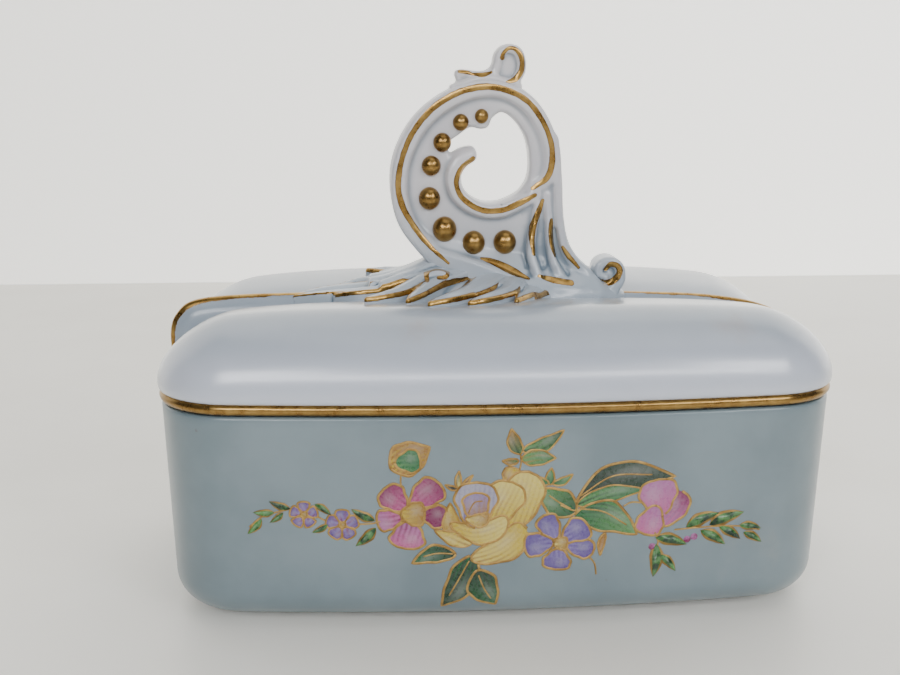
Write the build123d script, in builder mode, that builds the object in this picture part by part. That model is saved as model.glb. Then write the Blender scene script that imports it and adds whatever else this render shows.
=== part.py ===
from build123d import *
import os
from math import acos, asin, cos, degrees, radians, sin

os.makedirs("parts", exist_ok=True)

# A porcelain trinket box: a waisted, bow-sided tub and a loose lid of two pillowed lobes
# with a scrolled handle.  Millimetres, +Z up, origin at the centre of the foot's underside,
# X along the box, Y across it.

# Plan of the lid's rim
lid_length = 176.0
lid_width = 101.0
corner_radius = 22.0
side_bow = 3.5          # how far each long side bows out past its corners
end_radius = 75.0       # the two arcs that meet at the waist of each end
waist_radius = 4.0      # rounding of the waist itself

# Tub
tub_height = 56.7       # top of the tub's rim, where the lid rests
tub_inset = 0.9         # rim of the tub inside the rim of the lid
tub_wall = 4.0
tub_floor = 4.5
tub_draft = 1.6         # inward lean of the outer wall at its foot
tub_edge_radius = 8.5   # rounding under the tub
tub_inner_radius = 6.0
foot_height = 1.2
foot_width = 3.0
foot_inset = 14.0       # foot ring inside the tub's outline

# Lid
band_height = 3.0       # gilded roll along the lid's lower edge
band_lift = 0.3         # band clear of the tub's rim
band_depth = 3.0
band_inset = 0.2
band_edge_radius = 1.4
lid_top = 79.5          # crown of the two lobes
lobe_radius = 17.0      # rounding of the lid's shoulder
valley_depth = 6.3      # of the valley between the lobes
valley_reach = 10.0     # half the valley's width
lid_roof = 4.5
flange_gap = 1.0        # locating flange clear of the tub's wall
flange_wall = 3.0
flange_depth = 5.0
hollow_radius = 10.0

# Gilded rib along the valley
rib_width = 5.0
rib_rise = 5.6          # above the valley's floor
rib_overhang = 0.9      # past the lid's ends
rib_end_radius = 12.0
rib_foot_gap = 1.0      # end of the rib above the band
rib_flat = 1.2          # level strip left along the rib's crest

# Scrolled handle
handle_height = 66.0    # from the crown of the lobes to the top of the crest
handle_thickness = 11.0
scroll_radius = 27.0    # outer edge of the C scroll
scroll_x = 0.2
scroll_drop = 35.3      # centre of the scroll below the crest's top
scroll_start = 75.0     # the scroll's arc, in degrees from +X
scroll_sweep = 156.0
stem_points = [(16.0, 12.5), (19.0, -3.0), (20.3, -16.0)]   # from the scroll's centre
stem_foot_x = 27.5
stem_foot_rise = 6.0
stem_end_x = 29.0
handle_edge_radius = 1.6
channel_floor = 3.0     # half thickness left between the bead channels
channel_width = 7.4
foot_length_low = 58.0
foot_width_low = 27.0
foot_length_high = 32.0
foot_width_high = 9.0
foot_rise = 10.5        # height of the handle's spreading foot above the lobes
foot_x = 5.0

# Beads, crest, volute and leaves
eye_points = [(-5.0, 5.6), (-8.0, 7.2), (-11.6, 6.4), (-8.5, 12.3), (-1.5, 14.0), (2.2, 17.0),
              (7.5, 11.5), (9.4, 3.0), (3.0, -5.8), (-4.5, -6.2), (-8.4, -0.5), (-7.4, 3.6)]
bead_count = 8
bead_first = 6.4
bead_last = 3.4
bead_arc_radius = 18.4
bead_arc_offset = (1.3, -1.0)   # centre of the bead arc from the scroll's centre
bead_start = -82.0
bead_pitch = 1.6       # spacing over mean diameter
crest_thickness = 8.0
crest_points = [(-11.5, -14.0), (-10.0, -7.0), (-4.0, -7.0), (0.4, -3.0), (4.0, 0.0),
                (8.3, -3.5), (7.6, -9.0), (5.0, -14.0)]
volute_radius = 5.3
volute_reach = 32.4     # centre of the volute along X
volute_rise = 3.5       # centre of the volute above the lobes
volute_thickness = 9.0
leaf_width = 11.0
leaf_rise = 2.6         # leaf tips above the lobes
leaf_root_rise = 8.5
leaf_crown_length = 86.0   # the spray's raised middle, at the lobes' crown
leaf_crown_width = 62.0
leaf_tips = [(-54, 0), (-43, -8), (-34, -22), (-24, -27), (-18, -31), (-8.5, -29.5), (7.5, -22)]
leaf_root = (4.0, -3.0)

# Heights that follow from the sizes above
band_bottom = tub_height + band_lift
band_top = band_bottom + band_height
valley_floor = lid_top - valley_depth
hollow_top = lid_top - lid_roof
flange_inset = tub_inset + tub_wall + flange_gap
hollow_inset = flange_inset + flange_wall
crest_top = lid_top + handle_height
scroll_z = crest_top - scroll_drop

# Arcs of the plan: the long side's arc is tangent to the corner arcs
half_length = lid_length / 2
half_width = lid_width / 2
corner_x = half_length - corner_radius
corner_y = half_width - corner_radius - side_bow
side_radius = (corner_x**2 + (corner_radius + side_bow) ** 2 - corner_radius**2) / (2 * side_bow)
side_y = side_radius - half_width
side_angle = degrees(asin(corner_x / (side_radius - corner_radius)))
end_x = half_length - end_radius


def plan(inset):
    """The plan of the box, its outline moved inward by inset."""
    end_angle = degrees(asin(corner_y / (end_radius - inset)))
    with BuildSketch() as shape:
        with BuildLine():
            CenterArc((0, side_y), side_radius - inset, -90 - side_angle, 2 * side_angle)
            corner = CenterArc(
                (corner_x, -corner_y), corner_radius - inset, side_angle - 90, 90 - side_angle)
            end = CenterArc((end_x, -corner_y), end_radius - inset, 0, end_angle)
            mirror([corner, end], about=Plane.YZ)
            mirror(about=Plane.XZ)
        make_face()
        fillet(shape.vertices().filter_by(lambda v: abs(v.Y) < 0.01), waist_radius + inset)
    return shape.sketch


def valley(top, reach, depth):
    """Cross-section of the valley: two shoulders that roll over from the level top."""
    radius = (reach**2 + depth**2) / (2 * depth)
    roll = degrees(acos(1 - depth / radius))
    with BuildSketch() as shape:
        with BuildLine():
            left = CenterArc((-reach, top - radius), radius, 90, -roll)
            right = CenterArc((reach, top - radius), radius, 90, roll)
            Polyline(right @ 0, (reach, top + depth), (-reach, top + depth), left @ 0)
        make_face()
    return shape.sketch


# Tub: drafted walls, rounded bottom, hollow inside, low unglazed foot ring
with BuildPart() as box_body:
    with BuildSketch(Plane.XY.offset(foot_height)):
        add(plan(tub_inset + tub_draft))
    with BuildSketch(Plane.XY.offset(tub_height)):
        add(plan(tub_inset))
    loft(ruled=True)
    fillet(box_body.edges().group_by(Axis.Z)[0], tub_edge_radius)
    with BuildSketch(Plane.XY):
        add(plan(tub_inset + foot_inset))
        add(plan(tub_inset + foot_inset + foot_width), mode=Mode.SUBTRACT)
    extrude(amount=foot_height)

with BuildPart() as tub_hollow:
    with BuildSketch(Plane.XY.offset(foot_height + tub_floor)):
        add(plan(tub_inset + tub_draft + tub_wall))
    with BuildSketch(Plane.XY.offset(tub_height)):
        add(plan(tub_inset + tub_wall))
    loft(ruled=True)
    fillet(tub_hollow.edges().group_by(Axis.Z)[0], tub_inner_radius)

with box_body:
    add(tub_hollow.part, mode=Mode.SUBTRACT)
box_body.part.label = "box_body"
export_step(box_body.part, "parts/box_body.step")

# Lid: two pillowed lobes over a hollow, with a flange that drops inside the tub
with BuildPart() as lid_hollow:
    with BuildSketch(Plane.XY.offset(tub_height - flange_depth)):
        add(plan(hollow_inset))
    extrude(amount=hollow_top - tub_height + flange_depth)
    fillet(lid_hollow.edges().group_by(Axis.Z)[-1], hollow_radius)
    with BuildSketch(Plane.YZ):
        add(valley(hollow_top, valley_reach + lid_roof / 2, valley_depth))
    extrude(amount=half_length, both=True, mode=Mode.SUBTRACT)

with BuildPart() as lid_shell:
    with BuildSketch(Plane.XY.offset(band_top)):
        add(plan(0))
    extrude(amount=lid_top - band_top)
    fillet(lid_shell.edges().group_by(Axis.Z)[-1], lobe_radius)
    with BuildSketch(Plane.YZ):
        add(valley(lid_top, valley_reach, valley_depth))
    extrude(amount=half_length, both=True, mode=Mode.SUBTRACT)
    with BuildSketch(Plane.XY.offset(tub_height)):
        add(plan(band_depth))
    extrude(amount=band_top - tub_height)
    with BuildSketch(Plane.XY.offset(tub_height - flange_depth)):
        add(plan(flange_inset))
    extrude(amount=flange_depth)
    add(lid_hollow.part, mode=Mode.SUBTRACT)
lid_shell.part.label = "lid_shell"
export_step(lid_shell.part, "parts/lid_shell.step")

# Gilded roll moulding round the lid's lower edge
with BuildPart() as gilt_band:
    with BuildSketch(Plane.XY.offset(band_bottom)):
        add(plan(band_inset))
    extrude(amount=band_height)
    fillet(gilt_band.edges().group_by(Axis.Z)[0], band_edge_radius)
    with BuildSketch(Plane.XY.offset(band_bottom)):
        add(plan(band_depth))
    extrude(amount=band_height, mode=Mode.SUBTRACT)
gilt_band.part.label = "gilt_band"
export_step(gilt_band.part, "parts/gilt_band.step")

# Gilded rib along the valley, rounded down over both ends
with BuildPart() as gilt_rib:
    rib_end = half_length + rib_overhang
    rib_top = valley_floor + rib_rise
    with BuildSketch(Plane.XZ):
        with Locations((0, (rib_top + band_top + rib_foot_gap) / 2)):
            Rectangle(2 * rib_end, rib_top - band_top - rib_foot_gap)
    extrude(amount=rib_width / 2, both=True)
    fillet(gilt_rib.edges().filter_by(Axis.Y).group_by(Axis.Z)[-1], rib_end_radius)
    fillet(gilt_rib.faces().sort_by(Axis.Z)[-1].edges().filter_by(Axis.X), (rib_width - rib_flat) / 2)
    add(lid_shell.part, mode=Mode.SUBTRACT)
    add(lid_hollow.part, mode=Mode.SUBTRACT)

# Scrolled handle: a C scroll with a hooked eye, a stem at its right and a spreading foot
with BuildPart() as scroll_handle:
    with BuildSketch(Plane.XZ):
        with BuildLine():
            scroll = CenterArc((scroll_x, scroll_z), scroll_radius, scroll_start, scroll_sweep)
            stem = Spline([
                scroll @ 0,
                *[(scroll_x + x, scroll_z + z) for x, z in stem_points],
                (scroll_x + stem_foot_x, lid_top + stem_foot_rise),
                (scroll_x + stem_end_x, valley_floor),
            ])
            Polyline(stem @ 1, ((scroll @ 1).X, valley_floor), scroll @ 1)
        make_face()
        with BuildLine(mode=Mode.PRIVATE) as eye:
            Spline([(scroll_x + x, scroll_z + z) for x, z in eye_points], periodic=True)
        add(make_face(eye.line, mode=Mode.PRIVATE), mode=Mode.SUBTRACT)
    extrude(amount=handle_thickness / 2, both=True)
    fillet(scroll_handle.edges().filter_by(GeomType.CIRCLE), handle_edge_radius)
    with BuildSketch(Plane.XY.offset(valley_floor)):
        with Locations((foot_x, 0)):
            Ellipse(foot_length_low / 2, foot_width_low / 2)
    with BuildSketch(Plane.XY.offset(lid_top + foot_rise)):
        with Locations((foot_x, 0)):
            Ellipse(foot_length_high / 2, foot_width_high / 2)
    loft()

# Channel on each face for the beads, and the row of beads that shrinks along it
channel_centre = (scroll_x + bead_arc_offset[0], scroll_z + bead_arc_offset[1])
bead_sizes = [bead_first + (bead_last - bead_first) * i / (bead_count - 1) for i in range(bead_count)]
bead_angles = [bead_start]
for before, after in zip(bead_sizes, bead_sizes[1:]):
    bead_angles.append(bead_angles[-1] - degrees(bead_pitch * (before + after) / 2 / bead_arc_radius))
with scroll_handle:
    for side in (-1, 1):
        with BuildSketch(Plane.XZ.offset(side * (channel_floor + handle_thickness))):
            with BuildLine(mode=Mode.PRIVATE) as channel:
                CenterArc(channel_centre, bead_arc_radius, bead_angles[0], bead_angles[-1] - bead_angles[0])
            SlotArc(channel.line.edge(), channel_width)
        extrude(amount=-side * handle_thickness, mode=Mode.SUBTRACT)
    add(gilt_rib.part, mode=Mode.SUBTRACT)
    add(lid_shell.part, mode=Mode.SUBTRACT)
    add(lid_hollow.part, mode=Mode.SUBTRACT)
scroll_handle.part.label = "scroll_handle"
export_step(scroll_handle.part, "parts/scroll_handle.step")
gilt_rib.part.label = "gilt_rib"
export_step(gilt_rib.part, "parts/gilt_rib.step")

with BuildPart() as handle_beads:
    for size, angle in zip(bead_sizes, bead_angles):
        bead_x = channel_centre[0] + bead_arc_radius * cos(radians(angle))
        bead_z = channel_centre[1] + bead_arc_radius * sin(radians(angle))
        with Locations((bead_x, -channel_floor, bead_z), (bead_x, channel_floor, bead_z)):
            Sphere(size / 2)
    add(scroll_handle.part, mode=Mode.SUBTRACT)
handle_beads.part.label = "handle_beads"
export_step(handle_beads.part, "parts/handle_beads.step")

# Leafy crest on top of the scroll
with BuildPart() as handle_crest:
    with BuildSketch(Plane.XZ):
        with BuildLine():
            tip = Spline([(scroll_x + x, crest_top + z) for x, z in crest_points])
            Line(tip @ 1, tip @ 0)
        make_face()
    extrude(amount=crest_thickness / 2, both=True)
    add(scroll_handle.part, mode=Mode.SUBTRACT)
handle_crest.part.label = "handle_crest"
export_step(handle_crest.part, "parts/handle_crest.step")

# Small volute where the stem's foot curls on to the rib
with BuildPart() as handle_volute:
    with BuildSketch(Plane.XZ):
        with Locations((volute_reach, lid_top + volute_rise)):
            Circle(volute_radius)
    extrude(amount=volute_thickness / 2, both=True)
    add(scroll_handle.part, mode=Mode.SUBTRACT)
    add(gilt_rib.part, mode=Mode.SUBTRACT)
    add(lid_shell.part, mode=Mode.SUBTRACT)
handle_volute.part.label = "handle_volute"
export_step(handle_volute.part, "parts/handle_volute.step")

# Acanthus leaves that spread from the handle's foot over the valley on to both lobes
with BuildSketch() as leaf_spray:
    for leaf_tip in leaf_tips:
        with BuildLine():
            SagittaArc(leaf_root, leaf_tip, leaf_width / 2)
            SagittaArc(leaf_tip, leaf_root, leaf_width / 2)
        make_face()
    mirror(about=Plane.XZ)

with BuildPart() as leaf_crown:
    with BuildSketch(Plane.XY.offset(valley_floor)):
        add(leaf_spray.sketch)
    extrude(amount=valley_depth + leaf_root_rise)
    with BuildSketch(Plane.XY.offset(lid_top)):
        Ellipse(leaf_crown_length / 2, leaf_crown_width / 2)
    with BuildSketch(Plane.XY.offset(lid_top + leaf_root_rise)):
        Ellipse(foot_length_high / 2, foot_width_high / 2)
    loft(mode=Mode.INTERSECT)

with BuildPart() as acanthus_leaves:
    with BuildSketch(Plane.XY.offset(valley_floor)):
        add(leaf_spray.sketch)
    extrude(amount=valley_depth + leaf_rise)
    add(leaf_crown.part)
    add(scroll_handle.part, mode=Mode.SUBTRACT)
    add(handle_beads.part, mode=Mode.SUBTRACT)
    add(handle_volute.part, mode=Mode.SUBTRACT)
    add(gilt_rib.part, mode=Mode.SUBTRACT)
    add(lid_shell.part, mode=Mode.SUBTRACT)
    add(lid_hollow.part, mode=Mode.SUBTRACT)
acanthus_leaves.part.label = "acanthus_leaves"
export_step(acanthus_leaves.part, "parts/acanthus_leaves.step")
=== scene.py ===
import math

import bmesh
import bpy
import numpy as np
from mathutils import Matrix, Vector


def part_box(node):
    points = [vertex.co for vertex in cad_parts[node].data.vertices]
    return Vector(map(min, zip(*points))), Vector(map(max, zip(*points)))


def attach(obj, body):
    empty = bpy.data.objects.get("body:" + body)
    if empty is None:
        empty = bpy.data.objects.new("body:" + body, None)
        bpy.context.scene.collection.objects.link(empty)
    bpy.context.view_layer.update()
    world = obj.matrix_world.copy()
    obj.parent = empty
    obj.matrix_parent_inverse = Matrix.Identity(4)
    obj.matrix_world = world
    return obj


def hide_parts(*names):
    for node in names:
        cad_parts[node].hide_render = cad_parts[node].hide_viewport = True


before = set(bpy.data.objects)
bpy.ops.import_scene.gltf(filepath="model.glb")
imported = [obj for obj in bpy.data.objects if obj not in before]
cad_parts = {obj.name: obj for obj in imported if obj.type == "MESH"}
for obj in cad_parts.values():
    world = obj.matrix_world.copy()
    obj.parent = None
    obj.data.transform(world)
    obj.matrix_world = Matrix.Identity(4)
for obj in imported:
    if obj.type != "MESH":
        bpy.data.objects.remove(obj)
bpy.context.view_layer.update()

# ------------------------------
# Viewpoint: a hand-held view from a little above the lid and slightly to the left.
# ------------------------------


def stand(name, data):
    """A new object with this data, linked into the scene."""
    made = bpy.data.objects.new(name, data)
    bpy.context.scene.collection.objects.link(made)
    return made


camera = stand("camera", bpy.data.cameras.new("camera"))
camera.data.sensor_width = 36.0
camera.data.lens = 44.0
camera.location = (-0.0313, -0.3031, 0.1347)
camera.rotation_euler = (math.radians(90 - 12.88), 0, math.radians(-3.8))
camera.data.clip_start = 0.01
bpy.context.scene.camera = camera

# ------------------------------
# Table and wall: a pale matt top that meets a pale, softly glowing wall behind the box,
# under a broad ceiling light, with small windows and a strip of light in front.
# ------------------------------
table_half = 1.6
wall_y = 0.47
wall_height = 1.6


def flat_panel(name, corners):
    mesh = bpy.data.meshes.new(name)
    mesh.from_pydata(corners, [], [range(len(corners))])
    return stand(name, mesh)


class Value:
    """A shader socket that Python arithmetic works on: each operator adds one Math node."""

    def __init__(self, surface, socket):
        self.surface = surface
        self.socket = socket

    def math(self, operation, left, right=None):
        sockets = {0: left} if right is None else {0: left, 1: right}
        return self.surface.node("ShaderNodeMath", {"operation": operation}, sockets)

    def __add__(self, other):
        return self.math("ADD", self, other)

    def __mul__(self, other):
        return self.math("MULTIPLY", self, other)

    def __sub__(self, other):
        return self.math("SUBTRACT", self, other)

    def __rsub__(self, other):
        return self.math("SUBTRACT", other, self)

    __radd__ = __add__
    __rmul__ = __mul__


class Surface:
    """A material and the one way its nodes are added."""

    def __init__(self, name):
        self.material = bpy.data.materials.new(name)
        self.material.use_nodes = True
        self.tree = self.material.node_tree
        self.bsdf = self.tree.nodes["Principled BSDF"]
        self.place = self.node("ShaderNodeTexCoord", {}, {}, out="Object")

    def node(self, kind, settings, sockets, out=0):
        made = self.tree.nodes.new(kind)
        for key, setting in settings.items():
            setattr(made, key, setting)
        self.plug(made, sockets)
        return Value(self, made.outputs[out])

    def plug(self, made, sockets):
        for key, value in sockets.items():
            if isinstance(value, Value):
                self.tree.links.new(value.socket, made.inputs[key])
            else:
                made.inputs[key].default_value = value

    def finish(self, sockets):
        self.plug(self.bsdf, sockets)
        return self.material

    def noise(self, scale, detail=3.0, rough=0.55):
        sockets = {"Vector": self.place, "Scale": scale, "Detail": detail, "Roughness": rough}
        return self.node("ShaderNodeTexNoise", {}, sockets)

    def step(self, value, low, high):
        sockets = {"Value": value, "From Min": low, "From Max": high}
        return self.node("ShaderNodeMapRange", {"interpolation_type": "SMOOTHSTEP"}, sockets)

    def mix(self, factor, first, second):
        made = self.tree.nodes.new("ShaderNodeMix")
        made.data_type = "RGBA"
        self.plug(made, {0: factor, 6: first, 7: second})
        return Value(self, made.outputs[2])

    def along(self, axis):
        return self.node("ShaderNodeSeparateXYZ", {}, {"Vector": self.place}, out=axis)

    def bump(self, strength, distance, height):
        return self.node("ShaderNodeBump", {}, {"Strength": strength, "Distance": distance, "Height": height})

    def attribute(self, name, out="Fac"):
        return self.node("ShaderNodeAttribute", {"attribute_name": name}, {}, out=out)


table = flat_panel("table", [(-table_half, -table_half, 0), (table_half, -table_half, 0),
                             (table_half, wall_y, 0), (-table_half, wall_y, 0)])
wall = flat_panel("wall", [(-table_half, wall_y, 0), (table_half, wall_y, 0),
                           (table_half, wall_y, wall_height), (-table_half, wall_y, wall_height)])
top = Surface("pale_table")
mottle = top.step(top.noise(9.0, 4.0), 0.35, 0.7)
top_colour = top.mix(mottle, (0.86, 0.845, 0.79, 1), (0.82, 0.80, 0.74, 1))
table.data.materials.append(top.finish({
    "Base Color": top_colour, "Roughness": 0.42, "Emission Color": top_colour, "Emission Strength": 0.06}))
plaster = Surface("pale_wall")
across_wall = plaster.along("X")
glow = plaster.mix(plaster.step(across_wall, -0.5, 0.5), (0.50, 0.49, 0.46, 1), (0.85, 0.84, 0.80, 1))
wall.data.materials.append(plaster.finish({
    "Base Color": (0.84, 0.83, 0.80, 1), "Roughness": 0.8, "Emission Color": glow,
    "Emission Strength": 1.85}))


def soft_light(name, place, aim, size, watts, tint):
    light = bpy.data.lights.new(name, "AREA")
    light.shape = "RECTANGLE"
    light.size, light.size_y = size
    light.energy = watts
    light.color = tint
    lamp = stand(name, light)
    lamp.location = place
    lamp.rotation_euler = (Vector(aim) - Vector(place)).to_track_quat("-Z", "Y").to_euler()


soft_light("ceiling_light", (0.10, 0.10, 1.25), (0, 0.05, 0.0), (1.6, 1.0), 7.7, (1.0, 0.985, 0.94))
soft_light("left_window", (-0.40, -0.85, 0.62), (0, 0, 0.06), (0.30, 0.20), 2.6, (0.98, 0.985, 1.0))
soft_light("right_window", (0.62, -0.72, 0.62), (0, 0, 0.06), (0.30, 0.20), 2.6, (0.98, 0.985, 1.0))
soft_light("front_strip", (0.05, -0.95, 0.50), (0, 0, 0.06), (1.5, 0.06), 7.0, (0.98, 0.985, 1.0))
sky = bpy.data.worlds.new("room")
sky.use_nodes = True
sky.node_tree.nodes["Background"].inputs["Color"].default_value = (0.93, 0.95, 1.0, 1)
sky.node_tree.nodes["Background"].inputs["Strength"].default_value = 0.10
bpy.context.scene.world = sky

# ------------------------------
# Tub: slip-cast porcelain, bow-sided and waisted at both ends, glazed pale grey-blue all
# over but for the foot ring that it stands on.  Sizes here are millimetres.
# ------------------------------
mm = 0.001
tub_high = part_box("box_body")[1] / mm
lid_low, lid_high = (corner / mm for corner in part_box("lid_shell"))
half_length, half_width = lid_high.x, lid_high.y
corner_radius = 22.0
side_bow = 3.5
end_radius = 75.0
waist_radius = 3.2
corner_x = half_length - corner_radius
corner_y = half_width - corner_radius - side_bow
side_radius = (corner_x**2 + (corner_radius + side_bow) ** 2 - corner_radius**2) / (2 * side_bow)
side_centre = side_radius - half_width
side_angle = math.asin(corner_x / (side_radius - corner_radius))
end_centre = half_length - end_radius

tub_height = tub_high.z
tub_inset = half_length - tub_high.x
tub_draft = 1.6
tub_wall = 4.0
tub_edge = 8.5
foot_height = 2.0


def rim(inset, along_end=26, along_corner=20, along_side=46):
    """Points round the plan, inset inward: right waist, front, left waist, back."""
    y = corner_y * np.linspace(0, 1, along_end, endpoint=False)
    rounded = np.sqrt(y**2 + ((waist_radius + 0.3 * inset) * (1 - y / corner_y)) ** 2)
    x = end_centre + np.sqrt((end_radius - inset) ** 2 - (corner_y - rounded) ** 2)
    turn = np.linspace(0, math.pi / 2 - side_angle, along_corner, endpoint=False)
    bow = np.linspace(side_angle, 0, along_side)
    x = np.concatenate([x, corner_x + (corner_radius - inset) * np.cos(turn),
                        (side_radius - inset) * np.sin(bow)])
    y = np.concatenate([-y, -corner_y - (corner_radius - inset) * np.sin(turn),
                        side_centre - (side_radius - inset) * np.cos(bow)])
    front = np.column_stack([np.concatenate([x, -x[-2:0:-1]]), np.concatenate([y, y[-2:0:-1]])])
    left = np.array([[-x[0], y[0]]])
    return np.concatenate([front, left, front[:0:-1] * (1, -1)])


def level(inset, z):
    """One ring of the outline at a height, as points."""
    flat = rim(inset)
    return np.column_stack([flat, np.full(len(flat), z)])


def shrink(ring, steps, lift=None, reach=0.86):
    """Rings that carry a ring in to its own centre line, with heights from lift(x, y)."""
    line = np.column_stack([ring[:, 0] * reach, np.zeros(len(ring)), ring[:, 2]])
    rings = []
    for t in np.linspace(0, 1, steps + 1)[1:]:
        inner = ring * (1 - t) + line * t
        if lift is not None:
            inner[:, 2] = lift(inner[:, 0], inner[:, 1])
        rings.append(inner)
    return rings


def solid(name, points, faces, attributes=None):
    """A mesh object from points in millimetres, welded, with its faces turned outward."""
    mesh = bpy.data.meshes.new(name)
    mesh.from_pydata((np.asarray(points) * mm).tolist(), [], np.asarray(faces).tolist())
    for key, values in (attributes or {}).items():
        layer = mesh.attributes.new(key, "FLOAT", "POINT")
        layer.data.foreach_set("value", np.asarray(values, np.float32))
    work = bmesh.new()
    work.from_mesh(mesh)
    bmesh.ops.remove_doubles(work, verts=work.verts, dist=0.01 * mm)
    bmesh.ops.recalc_face_normals(work, faces=work.faces)
    work.to_mesh(mesh)
    work.free()
    mesh.shade_smooth()
    return stand(name, mesh)


def belong(piece, body, node=None):
    """Hang a piece on the body it rides on, and hide any CAD node it stands for."""
    if node is not None:
        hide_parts(node)
    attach(piece, body)


def dress(piece, material, body, node=None):
    piece.data.materials.append(material)
    belong(piece, body, node)


def rings_to_solid(name, rings, closed=False):
    """Quads between successive rings of equal length, each ring a closed loop."""
    count = len(rings[0])
    here = np.arange(count)
    after = np.roll(here, -1)
    pairs = list(zip(range(len(rings)), range(1, len(rings))))
    if closed:
        pairs.append((len(rings) - 1, 0))
    faces = [np.column_stack([a * count + here, a * count + after, b * count + after, b * count + here])
             for a, b in pairs]
    return solid(name, np.concatenate(rings), np.concatenate(faces))


def tub_wall_inset(z):
    """How far the outside of the tub stands inside the lid's rim at a height."""
    inset = tub_inset + tub_draft * (1 - (z - foot_height) / (tub_height - foot_height))
    low = np.clip((foot_height + tub_edge - z) / tub_edge, 0, 1)
    return inset + tub_edge * (1 - np.sqrt(1 - low**2))


quarter = np.linspace(0, 1, 15)
foot_ring = [(4.6, foot_height), (4.8, 0.4), (5.2, 0.0), (7.2, 0.0), (7.6, 0.4), (7.8, 1.2)]
under = [level(tub_wall_inset(foot_height) + inset, z) for inset, z in foot_ring]
heights = list(foot_height + tub_edge * (1 - np.cos(quarter * math.pi / 2)))
heights += list(np.linspace(foot_height + tub_edge, tub_height - 0.7, 26)[1:])
outside = [level(tub_wall_inset(z), z) for z in heights]
lip = [level(tub_inset + 0.2, tub_height - 0.2), level(tub_inset + 0.7, tub_height),
       level(tub_inset + tub_wall - 0.7, tub_height), level(tub_inset + tub_wall - 0.2, tub_height - 0.2)]
floor_thick = 4.5
floor_fillet = 6
floor_z = foot_height + floor_thick
inside = [level(tub_inset + tub_wall + tub_draft * (tub_height - z) / tub_height, z)
          for z in np.linspace(tub_height - 0.7, floor_z + floor_fillet, 16)]
inside += [level(tub_inset + tub_wall + tub_draft * 0.9 + floor_fillet * (1 - math.cos(t)),
                 floor_z + floor_fillet * (1 - math.sin(t))) for t in np.linspace(0.15, math.pi / 2, 9)]
rings = shrink(under[-1], 8)[::-1] + under[::-1] + outside + lip + inside + shrink(inside[-1], 8)
tub = rings_to_solid("painted_tub", rings)


def glaze(name, light, shade):
    """Satin porcelain glaze: faint clouds of tone, fine iron specks, soft gloss."""
    surface = Surface(name)
    cloud = surface.step(surface.noise(34.0, 4.0), 0.32, 0.70)
    colour = surface.mix(cloud, shade, light)
    grime = surface.step(surface.noise(21.0, 5.0, 0.62), 0.62, 0.80)
    colour = surface.mix(grime * 0.22, colour, (0.40, 0.36, 0.29, 1))
    cells = surface.node("ShaderNodeTexVoronoi", {}, {"Vector": surface.place, "Scale": 95.0})
    rare = surface.step(surface.noise(150.0, 1.0), 0.60, 0.66)
    speck = (1 - surface.step(cells, 0.030, 0.060)) * rare
    colour = surface.mix(speck * 0.75, colour, (0.12, 0.12, 0.13, 1))
    waviness = surface.noise(120.0, 2.0) * 0.6 + surface.noise(900.0, 2.0) * 0.08
    bump = surface.bump(0.16, 0.0004, waviness)
    rough = surface.noise(60.0, 3.0) * 0.12 + 0.27
    return surface, colour, rough, bump


# Painted shade: the tub gets darker colours than the lid although it is the same glaze, for the lesser light
# on its upright sides.
tub_glaze, tub_colour, tub_rough, tub_bump = glaze(
    "tub_glaze", (0.170, 0.226, 0.254, 1), (0.130, 0.180, 0.206, 1))
height = tub_glaze.along("Z")
bare = 1 - tub_glaze.step(height, 0.0002, 0.0006)
tub_colour = tub_glaze.mix(bare, tub_colour, (0.74, 0.71, 0.66, 1))
dress(tub, tub_glaze.finish({
    "Base Color": tub_colour, "Roughness": tub_rough + bare * 0.5, "Normal": tub_bump,
    "Coat Weight": 0.4, "Coat Roughness": 0.20}), "box", "box_body")

# ------------------------------
# Lid: one casting of two pillowed lobes with a valley between them, hollow below, with
# a flange that drops inside the tub.  The same glaze, with a painted highlight that lightens it low on the
# shoulders.
# ------------------------------
band_low, band_high = (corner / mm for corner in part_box("gilt_band"))
lid_crown = lid_high.z
widest = lid_crown - 18.0
hollow_spring = lid_crown - 13.8
lobe_crest = lid_crown + 1.0
lobe_crest_y = 34.0
lobe_fall = 2.7
lobe_half = 26.0
end_fall = 5.0
shoulder = 19.0
valley_drop = 3.4
valley_half = 15.0
lid_roof = 4.5
flange_inset = 5.9
flange_wall = 3.0
hollow_inset = flange_inset + flange_wall
hollow_radius = 7.5


def lid_top(x, y, inset=None):
    """Height of the lid's upper face: shoulder, crowned lobes and the valley between."""
    reach = 1.0 if inset is None else np.clip(inset / shoulder, 0, 1)
    rise = (1 - (1 - reach) ** 1.75) ** 0.5
    crown = lobe_fall * ((np.abs(y) - lobe_crest_y) / lobe_half) ** 2 + end_fall * (x / half_length) ** 4
    dip = valley_drop * np.clip(1 - np.sqrt(y**2 + 1.2) / valley_half, 0, 1) ** 2.2
    return widest + (lobe_crest - widest - crown - dip) * rise


def top_ring(inset):
    flat = rim(inset)
    return np.column_stack([flat, lid_top(flat[:, 0], flat[:, 1], inset)])


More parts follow.
